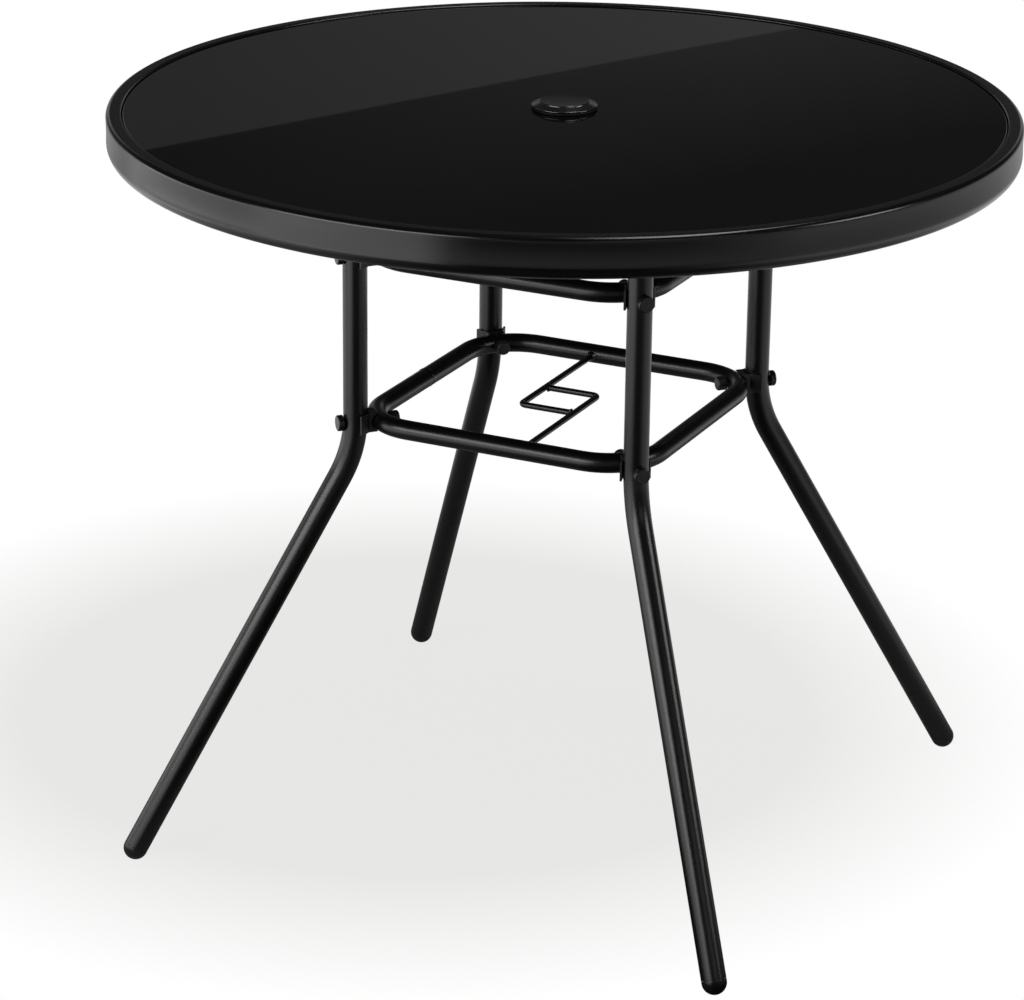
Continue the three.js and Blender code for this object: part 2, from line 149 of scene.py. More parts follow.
# Profiles as shares: (of the radius, of the depth)
CAP_DISH_SLOPE = ((0.0, 1.0), (0.4, 0.95), (0.7, 0.7), (0.86, 0.35))
HEAD_CROWN_SLOPE = ((0.55, 0.3), (0.25, 0.05), (0.0, 0.0))
NUT_CROWN_SHARE = 0.35
CAP_BEAD_DROP = 0.7

# Turns in degrees
CAP_BEAD_TURN = (92, 14)
CAP_SHOULDER_TURN = (75, 0)
HEAD_TURN = 80
WING_TURN = 60
BLOCK_TURN = 40
SHARP_ANGLE = 35

# Weld: the fillet at a rod's end as (radius, height) in millimetres, how much of it the smaller one
# keeps, the lumps' sizes, and the waves that make the lumps: (count, size, share of the seed)
FILLET = [(0, -1.0), (4.2, -1.0), (4.9, -0.4), (4.5, 0.6), (3.8, 1.6), (3.1, 2.8), (2.6, 3.0), (0, 3.0)]
SMALL_FILLET = (0.86, 0.8)
FILLET_LUMPS = 0.05
SEAM_LUMPS = 0.006
LUMP_WAVES = ((3, 1.0, 1.0), (7, 0.7, 2.3), (11, 0.5, -1.0))

# Facets round a piece, steps along an arc, and degrees to a step of a bend
TOP_FACETS = 256
RING_FACETS = 128
LEG_FACETS = 64
LOOP_FACETS = 48
FASTENER_FACETS = 48
SMALL_FACETS = 40
ROD_FACETS = 32
EDGE_STEPS = 3
ROUND_STEPS = 4
HEAD_STEPS = 6
BEAD_STEPS = 8
NUT_STEPS = 8
DOME_STEPS = 16
WALL_STEPS = 8
HOLLOW_STEPS = 16
BLOCK_STEPS = 5
RIM_BEND_STEP = 9
ROD_BEND_STEP = 9
LOOP_BEND_STEP = 5
LEG_BEND_STEP = 2
WING_BEND_STEP = 6
SEAM_STEP = 15

# Sizes worked out from the ones above
UPPER_Z = TOP_Z - UPPER_DROP
LOWER_Z = UPPER_Z - LOOP_SPACING
BEND_Z = LOWER_Z - LEG_BEND_DROP
GLASS_TOP = TOP_Z - RIM_LIP_RISE
GLASS_BOTTOM = GLASS_TOP - GLASS
RIM_BOTTOM = TOP_Z - RIM_HEIGHT
RAIL_TOP = TOP_Z - RAIL_DROP
RAIL_BOTTOM = RAIL_TOP - RAIL_WIDTH
CORNER_REACH = LOOP_HALF * math.sqrt(2) - LOOP_BEND * (math.sqrt(2) - 1)
SADDLE_INNER = LEG_RADIUS + GAP
SADDLE_MIDDLE = SADDLE_INNER + SADDLE / 2
LEG_REACH = CORNER_REACH + LOOP_RADIUS + GAP + SADDLE + SADDLE_INNER
RAIL_OFFSET = LEG_REACH / math.sqrt(2)
LEG_TOP = RAIL_BOTTOM - PLUG_FLANGE - 2 * GAP
FOOT_Z = LEG_RADIUS - FOOT_FLAT
PLUG_RADIUS = (LEG_RADIUS - LEG_WALL) * math.cos(math.pi / SOLID_LEG_FACETS) - GAP
COLLAR_RADIUS = GLASS_HOLE - GAP
RING_BORE = COLLAR_RADIUS - RING_WALL
RING_TOP = GLASS_TOP + GAP + RING_THICK
NUT_SEAT = CORNER_REACH - LOOP_RADIUS - GAP
SPLAY = Vector((FOOT_REACH - LEG_REACH, 0, FOOT_Z - BEND_Z)).normalized()
CORNERS = ["back_right", "back_left", "front_left", "front_right"]

# Limits that sort points and faces
ON_AXIS = 1e-6
ON_WALL = 0.01
FACING_DOWN = -0.9


# Mesh helpers. A shape is its vertices in millimetres and its faces.
def mesh_piece(name, shape, material, node, body="table"):
    """An object at the origin that stands for one of the frame's nodes."""
    verts, faces = shape
    mesh = bpy.data.meshes.new(name)
    mesh.from_pydata([Vector(v) * MM for v in verts], [], faces)
    mesh.shade_smooth()
    mesh.set_sharp_from_angle(angle=math.radians(SHARP_ANGLE))
    mesh.materials.append(material)
    piece = bpy.data.objects.new(name, mesh)
    bpy.context.scene.collection.objects.link(piece)
    weighting = piece.modifiers.new("weighted_normals", "WEIGHTED_NORMAL")
    weighting.keep_sharp = True
    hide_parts(node)
    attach(piece, body)
    return piece


def arc(cx, cy, radius, start, end, steps):
    """Points on an arc, angles in degrees."""
    points = []
    for i in range(steps + 1):
        angle = math.radians(start + (end - start) * i / steps)
        points.append((cx + radius * math.cos(angle), cy + radius * math.sin(angle)))
    return points


def rounded_box(half_x, half_y, radius, steps):
    """Points round a rectangle with round corners."""
    points = []
    for sx, sy, start in ((1, 1, 0), (-1, 1, 90), (-1, -1, 180), (1, -1, 270)):
        points += arc(sx * (half_x - radius), sy * (half_y - radius), radius, start, start + 90, steps)
    return points


def lathe(profile, count, closed=False):
    """Turns (radius, height) points about Z. A point on the axis becomes one vertex."""
    verts, rings, faces = [], [], []
    for radius, height in profile:
        if radius < ON_AXIS:
            rings.append([len(verts)])
            verts.append((0, 0, height))
        else:
            rings.append(list(range(len(verts), len(verts) + count)))
            for i in range(count):
                angle = 2 * math.pi * i / count
                verts.append((radius * math.cos(angle), radius * math.sin(angle), height))
    pairs = list(zip(rings, rings[1:]))
    if closed:
        pairs.append((rings[-1], rings[0]))
    for a, b in pairs:
        for i in range(count):
            j = (i + 1) % count
            if len(a) == 1:
                faces.append((a[0], b[j], b[i]))
            elif len(b) == 1:
                faces.append((a[i], a[j], b[0]))
            else:
                faces.append((a[i], a[j], b[j], b[i]))
    return verts, faces


def bent_path(corners, step):
    """Stations (point, direction) along straights and round bends. A corner is
    (point, bend radius), the two ends have radius 0, and a bend has a station
    about every step degrees."""
    spots = [Vector(point) for point, _ in corners]
    stations = [(spots[0], (spots[1] - spots[0]).normalized())]
    for i in range(1, len(spots) - 1):
        into = (spots[i] - spots[i - 1]).normalized()
        out = (spots[i + 1] - spots[i]).normalized()
        turn = into.angle(out)
        axis = into.cross(out).normalized()
        radius = corners[i][1]
        start = spots[i] - into * radius * math.tan(turn / 2)
        centre = start + axis.cross(into) * radius
        count = max(2, round(math.degrees(turn) / step))
        for k in range(count + 1):
            spin = Matrix.Rotation(turn * k / count, 3, axis)
            stations.append((centre + spin @ (start - centre), spin @ into))
    stations.append((spots[-1], (spots[-1] - spots[-2]).normalized()))
    return stations


def sweep(stations, normal, radius, count, wall=0.0, closed=False, end_round=0.0):
    """A round bar along stations that lie in a plane with this normal. With a wall its
    ends are hollow, three walls deep."""
    verts, rings, faces = [], [], []
    up = Vector(normal).normalized()

    def ring(point, direction, size):
        side = up.cross(direction).normalized()
        rings.append(len(verts))
        for i in range(count):
            angle = 2 * math.pi * i / count
            verts.append(point + side * size * math.cos(angle) + up * size * math.sin(angle))

    if closed:
        for point, direction in stations:
            ring(point, direction, radius)
    else:
        tip = []
        for k in range(ROUND_STEPS + 1):
            angle = math.pi / 2 * k / ROUND_STEPS
            size = radius - end_round + end_round * math.sin(angle)
            tip.append((size, end_round - end_round * math.cos(angle)))
        if wall:
            inner = radius - wall
            tip = [(inner, 3 * wall), (inner, end_round), (inner + end_round, 0.0)] + tip
        (first, ahead), (last, behind) = stations[0], stations[-1]
        for size, back in tip:
            ring(first + ahead * back, ahead, size)
        for point, direction in stations[1:-1]:
            ring(point, direction, radius)
        for size, back in reversed(tip):
            ring(last - behind * back, behind, size)
    order = list(zip(rings, rings[1:]))
    if closed:
        order.append((rings[-1], rings[0]))
    for a, b in order:
        for i in range(count):
            j = (i + 1) % count
            faces.append((a + i, a + j, b + j, b + i))
    if not closed:
        faces.append(tuple(rings[0] + i for i in reversed(range(count))))
        faces.append(tuple(rings[-1] + i for i in range(count)))
    return verts, faces


def loft(verts, count, rings):
    """Faces between rings of count vertices, with both ends closed."""
    faces = [tuple(reversed(range(count)))]
    for k in range(rings - 1):
        for i in range(count):
            j = (i + 1) % count
            a, b = k * count, (k + 1) * count
            faces.append((a + i, a + j, b + j, b + i))
    faces.append(tuple((rings - 1) * count + i for i in range(count)))
    return verts, faces


def moved(shape, matrix):
    verts, faces = shape
    return [matrix @ Vector(v) for v in verts], faces


def joined(*shapes):
    verts, faces = [], []
    for more_verts, more_faces in shapes:
        start = len(verts)
        verts.extend(more_verts)
        faces.extend(tuple(start + i for i in face) for face in more_faces)
    return verts, faces


def bend_swing(radius, past, turn, steps):
    """How far a bend has swung sideways this far past its start, with room for the
    solids' flat facets, which take the turn in these steps."""
    return radius - math.sqrt(radius ** 2 - past ** 2) + radius * (1 - math.cos(turn / (2 * steps)))


# Node helpers. Inputs go by name or place, each a value or a socket to link.
def feed(tree, node, inputs):
    for key, value in inputs.items():
        if isinstance(value, bpy.types.NodeSocket):
            tree.links.new(value, node.inputs[key])
        else:
            node.inputs[key].default_value = value


def make(tree, kind, inputs, operation=None):
    node = tree.nodes.new(kind)
    if operation:
        node.operation = operation
    feed(tree, node, inputs)
    return node


def calc(tree, operation, *values):
    return make(tree, "ShaderNodeMath", dict(enumerate(values)), operation).outputs["Value"]


def vector_calc(tree, operation, *values):
    node = make(tree, "ShaderNodeVectorMath", dict(enumerate(values)), operation)
    return node.outputs["Vector" if operation == "SUBTRACT" else "Value"]


def ramp(tree, value, span, results):
    """The value's place in a span (from, to), as a place between two results."""
    node = make(tree, "ShaderNodeMapRange", {
        "Value": value,
        "From Min": span[0],
        "From Max": span[1],
        "To Min": results[0],
        "To Max": results[1],
    })
    return node.outputs["Result"]


def noise(tree, coords, scale, detail, rough):
    inputs = {"Vector": coords, "Scale": scale, "Detail": detail, "Roughness": rough}
    return make(tree, "ShaderNodeTexNoise", inputs).outputs["Fac"]


def tint(tree, share, first, second):
    mix = tree.nodes.new("ShaderNodeMix")
    mix.data_type = "RGBA"
    feed(tree, mix, {"Factor": share, "A": (*first, 1), "B": (*second, 1)})
    return mix.outputs["Result"]


def mix_shaders(tree, share, first, second):
    return make(tree, "ShaderNodeMixShader", {"Fac": share, 1: first, 2: second}).outputs["Shader"]


def new_tree(owner):
    owner.use_nodes = True
    owner.node_tree.nodes.clear()
    return owner.node_tree


# Materials. Each finish gives its own scales for its slow patches and its fine grain, whose noises
# have this (detail, roughness). The glass's wipe marks have (scale, detail, roughness).
NOISE_SPAN = (0.3, 0.7)
PATCHES = (5.0, 0.6)
GRAIN = (3.0, 0.55)
GRAIN_HEIGHT = 0.0002
WIPE = (5.0, 6.0, 0.65)
GLASS_IOR = 1.5
BLUE_CAST = 1.03


def new_material(name):
    material = bpy.data.materials.new(name)
    tree = new_tree(material)
    shader = make(tree, "ShaderNodeBsdfPrincipled", {})
    make(tree, "ShaderNodeOutputMaterial", {"Surface": shader.outputs["BSDF"]})
    coords = make(tree, "ShaderNodeTexCoord", {}).outputs["Object"]
    return material, tree, shader, coords


def greys(dark, light):
    return [(value, value, value * BLUE_CAST) for value in (dark, light)]


def surface(name, colours, rough, grain, relief, patch=9.0, specular=0.5):
    """A finish with a fine grain in its bump and slow patches in its colour and roughness."""
    material, tree, shader, coords = new_material(name)
    patches = noise(tree, coords, patch, *PATCHES)
    fine = noise(tree, coords, grain, *GRAIN)
    bump = make(tree, "ShaderNodeBump", {"Strength": relief, "Distance": GRAIN_HEIGHT, "Height": fine})
    feed(tree, shader, {
        "Base Color": tint(tree, ramp(tree, patches, NOISE_SPAN, (0, 1)), *colours),
        "Roughness": ramp(tree, patches, NOISE_SPAN, rough),
        "Specular IOR Level": specular,
        "Normal": bump.outputs["Normal"],
    })
    return material


def polished_glass(name, colours, rough):
    """Black glass: polished, with the faintest wipe marks."""
    material, tree, shader, coords = new_material(name)
    wipe = noise(tree, coords, *WIPE)
    feed(tree, shader, {
        "Base Color": tint(tree, ramp(tree, wipe, NOISE_SPAN, (0, 1)), *colours),
        "Roughness": ramp(tree, wipe, NOISE_SPAN, rough),
        "IOR": GLASS_IOR,
    })
    return material


rim_paint = surface("painted_rim_satin", greys(0.0032, 0.0048), (0.17, 0.22), grain=1500.0, relief=0.2)
painted = surface("painted_steel_satin", greys(0.0024, 0.0038), (0.25, 0.31), grain=1500.0, relief=0.25)
plastic = surface("black_plastic_moulded", greys(0.009, 0.013), (0.42, 0.52),
                  grain=900.0, relief=0.3, patch=25.0)
cap_gloss = surface("black_plastic_cap", greys(0.009, 0.013), (0.18, 0.23),
                    grain=2200.0, relief=0.04, patch=30.0, specular=0.95)
foot_satin = surface("black_plastic_foot", greys(0.0035, 0.0055), (0.27, 0.33),
                     grain=1200.0, relief=0.15, patch=25.0)
ring_matt = surface("black_plastic_ring", greys(0.0030, 0.0045), (0.55, 0.65),
                    grain=900.0, relief=0.2, patch=25.0, specular=0.2)
oxide = surface("blackened_steel_heads", greys(0.008, 0.012), (0.22, 0.3),
                grain=1200.0, relief=0.2, patch=60.0)
vinyl = surface("soft_vinyl_pads", [(0.24, 0.25, 0.25), (0.30, 0.31, 0.31)], (0.5, 0.62),
                grain=400.0, relief=0.3, patch=40.0)
glass = polished_glass("black_glass_polished", greys(0.0022, 0.0032), (0.004, 0.012))
glass_back = surface("glass_back_paint", greys(0.006, 0.009), (0.45, 0.6), grain=300.0, relief=0.2)


# Rim: one rolled strip from the hem, up the outer wall, over the lip and down to the ledge.
# The wall is hollowed in a shallow curve, deepest halfway up.
def rim_profile():
    half = RIM_SHEET / 2
    wall = TOP_RADIUS + RIM_SWELL - half
    lip = TOP_RADIUS - RIM_LIP + half
    ledge = GLASS_BOTTOM - GAP - half
    stations = bent_path([
        ((TOP_RADIUS - RIM_HEM_DEPTH, RIM_BOTTOM + half, 0), 0),
        ((wall, RIM_BOTTOM + half, 0), RIM_HEM_RADIUS - half),
        ((wall, TOP_Z - half, 0), RIM_ARRIS - half),
        ((lip, TOP_Z - half, 0), RIM_LIP_INNER - half),
        ((lip, ledge, 0), RIM_LEDGE_FILLET),
        ((lip - RIM_LEDGE, ledge, 0), 0),
    ], RIM_BEND_STEP)
    outer = [(p.x + d.y * half, p.y - d.x * half) for p, d in stations]
    inner = [(p.x - d.y * half, p.y + d.x * half) for p, d in stations]
    low, high = RIM_BOTTOM + RIM_HEM_RADIUS, TOP_Z - RIM_ARRIS
    start = 1 + next(i for i, (p, d) in enumerate(stations) if p.y > low - ON_WALL)
    wall_outer = []
    for t in (k / WALL_STEPS for k in range(1, WALL_STEPS)):
        wall_outer.append((wall + half - RIM_HOLLOW * 4 * t * (1 - t), low + (high - low) * t))
    wall_inner = [(r - RIM_SHEET, z) for r, z in wall_outer]
    outer = outer[:start] + wall_outer + outer[start:]
    inner = inner[:start] + wall_inner + inner[start:]
    return outer + inner[::-1]


mesh_piece("rim_rolled", lathe(rim_profile(), TOP_FACETS, closed=True),
           rim_paint, "tabletop_rim")


# Glass: ground edges, a drilled hole, and paint on its back
def glass_profile():
    inner = GLASS_HOLE + GLASS_EDGE
    outer = TOP_RADIUS - RIM_LIP - GLASS_EDGE_GAP - GLASS_EDGE
    low, high = GLASS_BOTTOM + GLASS_EDGE, GLASS_TOP - GLASS_EDGE
    return (
        arc(inner, high, GLASS_EDGE, 90, 180, ROUND_STEPS)
        + arc(inner, low, GLASS_EDGE, 180, 270, ROUND_STEPS)
        + arc(outer, low, GLASS_EDGE, -90, 0, ROUND_STEPS)
        + arc(outer, high, GLASS_EDGE, 0, 90, ROUND_STEPS)
    )


pane = mesh_piece("glass_pane", lathe(glass_profile(), TOP_FACETS, closed=True),
                  glass, "glass_top")
pane.data.materials.append(glass_back)
for polygon in pane.data.polygons:
    if polygon.normal.z < FACING_DOWN:
        polygon.material_index = 1


# Ring: flange on the glass, collar through it
def ring_profile():
    mouth, flange, small = RING_MOUTH_EDGE, RING_FLANGE_EDGE, MOULDED_EDGE
    bottom = GLASS_BOTTOM - RING_DROP + small
    seat = GLASS_TOP + GAP
    return (
        arc(RING_BORE + mouth, RING_TOP - mouth, mouth, 90, 180, EDGE_STEPS)
        + arc(RING_BORE + small, bottom, small, 180, 270, EDGE_STEPS)
        + arc(COLLAR_RADIUS - small, bottom, small, -90, 0, EDGE_STEPS)
        + [(COLLAR_RADIUS, seat)]
        + arc(RING_RADIUS - small, seat + small, small, -90, 0, EDGE_STEPS)
        + arc(RING_RADIUS - flange, RING_TOP - flange, flange, 0, 90, ROUND_STEPS)
    )


mesh_piece("ring_flanged", lathe(ring_profile(), RING_FACETS, closed=True),
           ring_matt, "umbrella_ring")


# Cap: a low sloping shoulder, a bead and a dished top, over a hollow plug
def cap_profile():
    bottom = RING_TOP + GAP
    top = bottom + CAP_RISE
    plug = RING_BORE - CAP_PLUG_GAP
    plug_bottom = bottom - CAP_PLUG
    bead = CAP_BEAD / 2
    edge = TURNED_EDGE
    points = [(CAP_TOP * out, top - CAP_DISH * deep) for out, deep in CAP_DISH_SLOPE]
    points += arc(CAP_TOP - bead, top - bead, bead, *CAP_BEAD_TURN, BEAD_STEPS)
    points += [(CAP_TOP + CAP_BEAD_FOOT, top - CAP_BEAD_DROP * CAP_BEAD)]
    points += arc(CAP_RADIUS - CAP_ROUND, bottom + CAP_EDGE, CAP_ROUND, *CAP_SHOULDER_TURN, BEAD_STEPS)
    points += arc(CAP_RADIUS - edge, bottom + edge, edge, 0, -90, EDGE_STEPS)
    points += [(plug, bottom)]
    points += arc(plug - CAP_PLUG_EDGE, plug_bottom + CAP_PLUG_EDGE, CAP_PLUG_EDGE, 0, -90, EDGE_STEPS)
    points += [(plug - CAP_WALL, plug_bottom), (plug - CAP_WALL, bottom), (0, bottom)]
    return points[::-1]


mesh_piece("cap_dished", lathe(cap_profile(), RING_FACETS),
           cap_gloss, "umbrella_cap", body="cap")


# Cross rails: square tubes with round corners, open at their ends, which end short of
# the solid rim's hem
def rail_shape():
    hem = SOLID_HEM_RADIUS - RIM_SHEET
    past = RIM_BOTTOM + SOLID_HEM_RADIUS - RAIL_BOTTOM
    inset = bend_swing(hem, past, math.pi / 2, SOLID_HEM_STEPS)
    reach = TOP_RADIUS - RIM_SHEET - GAP - inset
    half, inner = RAIL_WIDTH / 2, RAIL_WIDTH / 2 - RAIL_WALL
    outside = rounded_box(half, half, RAIL_ROUND, ROUND_STEPS)
    inside = rounded_box(inner, inner, RAIL_ROUND - RAIL_WALL, ROUND_STEPS)
    count = len(outside)
    verts = []
    for side in (-1, 1):
        for points in (outside, inside):
            for y, z in points:
                across = RAIL_OFFSET + y
                verts.append((side * math.sqrt(reach ** 2 - across ** 2), across, RAIL_TOP - half + z))
    faces = []
    for i in range(count):
        j = (i + 1) % count
        faces.append((i, j, 2 * count + j, 2 * count + i))
        faces.append((count + j, count + i, 3 * count + i, 3 * count + j))
        faces.append((j, i, count + i, count + j))
        faces.append((2 * count + i, 2 * count + j, 3 * count + j, 3 * count + i))
    return verts, faces


def pad_shape(x, y):
    low, high = RAIL_TOP + GAP, GLASS_BOTTOM - GAP
    foot, crown = PAD_FOOT_EDGE, PAD_CROWN_EDGE
    profile = [(0, low)] + arc(PAD_RADIUS - foot, low + foot, foot, -90, 0, EDGE_STEPS)
    profile += arc(PAD_RADIUS - crown, high - crown, crown, 0, 90, ROUND_STEPS) + [(0, high)]
    return moved(lathe(profile, SMALL_FACETS), Matrix.Translation((x, y, 0)))


def weld_bead(profile, point, direction, seed, lumps):
    """A lumpy bead turned about an axis from a point: (radius, height) pairs, low end first."""
    verts, faces = lathe(profile, SMALL_FACETS)
    rough = []
    for v in (Vector(v) for v in verts):
        angle = math.atan2(v.y, v.x)
        swell = sum(size * math.sin(count * angle + share * seed) for count, size, share in LUMP_WAVES)
        scale = 1 + lumps * swell
        rough.append(Vector((v.x * scale, v.y * scale, v.z)))
    turn = Vector((0, 0, 1)).rotation_difference(Vector(direction)).to_matrix().to_4x4()
    return moved((rough, faces), Matrix.Translation(point) @ turn)


# Pole guide rods, each with the beads of weld where it meets the loop and the other rod
def rod_shape():
    offset = (ROD_OPENING + 2 * ROD_RADIUS) / 2
    start = LOOP_HALF - LOOP_RADIUS - GAP
    stations = bent_path([
        ((-offset, start, LOWER_Z), 0),
        ((-offset, -offset, LOWER_Z), ROD_BEND),
        ((offset - ROD_RADIUS - GAP, -offset, LOWER_Z), 0),
    ], ROD_BEND_STEP)
    rod = sweep(stations, (0, 0, 1), ROD_RADIUS, ROD_FACETS, end_round=ROD_END_EDGE)
    (first, ahead), (last, behind) = stations[0], stations[-1]
    at_loop = weld_bead(FILLET, first, ahead, seed=1.0, lumps=FILLET_LUMPS)
    tight = [(r * SMALL_FILLET[0], h * SMALL_FILLET[1]) for r, h in FILLET]
    at_rod = weld_bead(tight, last, -behind, seed=4.0, lumps=FILLET_LUMPS)
    return joined(rod, at_loop, at_rod)


padded_reach = PAD_PLACE * math.sqrt(TOP_RADIUS ** 2 - RAIL_OFFSET ** 2)
for side, across, bearing in (("back", RAIL_OFFSET, 0.0), ("front", -RAIL_OFFSET, math.pi)):
    turn = Matrix.Rotation(bearing, 4, "Z")
    rail, rod = moved(rail_shape(), turn), moved(rod_shape(), turn)
    mesh_piece(f"rail_{side}", rail, painted, f"cross_rail_{side}")
    mesh_piece(f"guide_rod_{side}", rod, painted, f"pole_guide_rod_{side}")
    for end, x in (("left", -padded_reach), ("right", padded_reach)):
        mesh_piece(f"pad_{side}_{end}", pad_shape(x, across), vinyl, f"glass_pad_{side}_{end}")


# Loops: a tube bent round a square and welded shut in the middle of its -X side
def loop_shape(height):
    half = LOOP_HALF
    stations = bent_path([
        ((-half, 0, height), 0),
        ((-half, -half, height), LOOP_BEND),
        ((half, -half, height), LOOP_BEND),
        ((half, half, height), LOOP_BEND),
        ((-half, half, height), LOOP_BEND),
        ((-half, 0, height), 0),
    ], LOOP_BEND_STEP)[:-1]
    tube = sweep(stations, (0, 0, 1), LOOP_RADIUS, LOOP_FACETS, closed=True)
    bead = [(0, -SEAM_END)]
    for t in (math.radians(degrees) for degrees in range(-90, 91, SEAM_STEP)):
        bead.append((LOOP_RADIUS - SEAM_SINK + SEAM_RISE * math.cos(t), SEAM_HALF * math.sin(t)))
    bead.append((0, SEAM_END))
    seam = weld_bead(bead, (-half, 0, height), (0, 1, 0), seed=2.0, lumps=SEAM_LUMPS)
    return joined(tube, seam)


mesh_piece("loop_upper", loop_shape(UPPER_Z), painted, "upper_loop")
mesh_piece("loop_lower", loop_shape(LOWER_Z), painted, "lower_loop")

# Legs and their fittings, made for a corner on the +X side and turned to each corner
foot_centre = Vector((FOOT_REACH, 0, FOOT_Z))


def leg_shape():
    stations = bent_path([
        ((LEG_REACH, 0, LEG_TOP), 0),
        ((LEG_REACH, 0, BEND_Z), LEG_BEND),
        (tuple(foot_centre - SPLAY * (FOOT_COLLAR + FOOT_SEAM)), 0),
    ], LEG_BEND_STEP)
    return sweep(stations, (0, 1, 0), LEG_RADIUS, LEG_FACETS, wall=LEG_WALL, end_round=LEG_END_EDGE)


def foot_shape():
    """A collar and a dome below the tube's end, worn flat where it stands."""
    peg = FOOT_COLLAR + FOOT_PEG
    profile = [(0, peg), (PLUG_RADIUS, peg), (PLUG_RADIUS, FOOT_COLLAR)]
    profile += arc(LEG_RADIUS - FOOT_EDGE, FOOT_COLLAR - FOOT_EDGE, FOOT_EDGE, 90, 0, EDGE_STEPS)
    profile += arc(0, 0, LEG_RADIUS, 0, -90, DOME_STEPS)[:-1] + [(0, -LEG_RADIUS)]
    turn = Vector((0, 0, -1)).rotation_difference(SPLAY).to_matrix().to_4x4()
    verts, faces = moved(lathe(profile[::-1], LEG_FACETS), Matrix.Translation(foot_centre) @ turn)
    return [Vector((v.x, v.y, max(v.z, 0.0))) for v in verts], faces


def top_plug_shape():
    bottom = LEG_TOP + GAP
    top = bottom + PLUG_FLANGE
    end = bottom - PLUG_LENGTH
    bore, edge = SHANK + HOLE_GAP, TURNED_EDGE
    profile = [(bore, top), (bore, end), (PLUG_RADIUS, end), (PLUG_RADIUS, bottom)]
    profile += arc(LEG_RADIUS - edge, bottom + edge, edge, -90, 0, EDGE_STEPS)
    profile += arc(LEG_RADIUS - edge, top - edge, edge, 0, 90, EDGE_STEPS)
    return moved(lathe(profile, LEG_FACETS, closed=True), Matrix.Translation((LEG_REACH, 0, 0)))


def saddle_wings():
    """The part of the saddle that hugs the leg: a curved wall with straight wings."""
    wrap = math.radians(WING_TURN)
    turn_y = SADDLE_MIDDLE * math.tan(wrap / 2)

    def tip(side):
        x = -SADDLE_MIDDLE * math.cos(wrap) + SADDLE_WING * math.sin(wrap)
        y = SADDLE_MIDDLE * math.sin(wrap) + SADDLE_WING * math.cos(wrap)
        return (x, side * y, 0)

    stations = bent_path([
        (tip(1), 0),
        ((-SADDLE_MIDDLE, turn_y, 0), SADDLE_MIDDLE),
        ((-SADDLE_MIDDLE, -turn_y, 0), SADDLE_MIDDLE),
        (tip(-1), 0),
    ], WING_BEND_STEP)
    section = rounded_box(SADDLE / 2, SADDLE_HEIGHT / 2, MOULDED_EDGE, EDGE_STEPS)
    verts = []
    for point, direction in stations:
        out = Vector((direction.y, -direction.x, 0))
        verts.extend(point + out * x + Vector((0, 0, z)) for x, z in section)
    return loft(verts, len(section), len(stations))


def saddle_block():
    """The block behind the wings, hollowed to the round of the loop's corner."""
    outer = SADDLE_MIDDLE + SADDLE / 2
    loop_x = LEG_REACH - CORNER_REACH
    hollow = LOOP_RADIUS + GAP
    back = loop_x - LOOP_RADIUS + SADDLE_WRAP
    half = SADDLE_HEIGHT / 2
    root = math.radians(BLOCK_TURN)
    root_x, root_y = outer * math.cos(root), outer * math.sin(root)
    turns = [math.radians(BLOCK_TURN / BLOCK_STEPS * k) for k in range(-BLOCK_STEPS, BLOCK_STEPS + 1)]
    face = [(SADDLE_MIDDLE * math.cos(t), SADDLE_MIDDLE * math.sin(t)) for t in turns]

    def side_y(x):
        return root_y + (SADDLE_BLOCK / 2 - root_y) * (x - root_x) / (back - root_x)

    lip = math.sqrt(hollow ** 2 - (loop_x - back) ** 2)
    levels = [(-half, MOULDED_EDGE), (-half + MOULDED_EDGE, 0.0), (-lip, 0.0)]
    levels += [(-lip * math.cos(math.pi * k / HOLLOW_STEPS), 0.0) for k in range(1, HOLLOW_STEPS)]
    levels += [(lip, 0.0), (half - MOULDED_EDGE, 0.0), (half, MOULDED_EDGE)]
    verts = []
    for z, inset in levels:
        reach = min(back, loop_x - math.sqrt(max(hollow ** 2 - z ** 2, 0))) - inset
        side = [
            (root_x, root_y - inset),
            (reach - BLOCK_EDGE, side_y(reach) - inset),
            (reach - BLOCK_EDGE_SLACK, side_y(reach) - BLOCK_EDGE_SLACK - inset),
            (reach, side_y(reach) - BLOCK_EDGE - inset),
        ]
        ring = face + side + [(x, -y) for x, y in reversed(side)]
        verts.extend(Vector((-x, y, z)) for x, y in ring)
    return loft(verts, len(ring), len(levels))


def saddle_shape(height):
    shape = joined(saddle_wings(), saddle_block())
    return moved(shape, Matrix.Translation((LEG_REACH, 0, height)))


def leg_swing(height):
    turn = SPLAY.angle(Vector((0, 0, -1)))
    past = max(BEND_Z + LEG_BEND * math.tan(turn / 2) - height, 0)
    return bend_swing(LEG_BEND, past, turn, SOLID_LEG_STEPS)


HEAD_SEAT = LEG_REACH + LEG_RADIUS + GAP + leg_swing(LOWER_Z - HEAD_RADIUS)


def turned_bolt(tip_z, seat, head, height, easing):
    """A shank from its tip up to a round head, along +Z."""
    top = seat + height
    chamfer, edge = MOULDED_EDGE, TURNED_EDGE
    profile = [(0, tip_z), (SHANK - chamfer, tip_z), (SHANK, tip_z + chamfer), (SHANK, seat)]
    profile += arc(head - edge, seat + edge, edge, -90, 0, EDGE_STEPS)
    profile += arc(head - easing, top - easing, easing, 0, HEAD_TURN, HEAD_STEPS)
    profile += [(head * out, top - HEAD_CROWN * deep) for out, deep in HEAD_CROWN_SLOPE]
    return lathe(profile, FASTENER_FACETS)


def lying(shape, x, height):
    """A shape along +Z laid along +X from this place."""
    return moved(shape, Matrix.Translation((x, 0, height)) @ Matrix.Rotation(math.pi / 2, 4, "Y"))


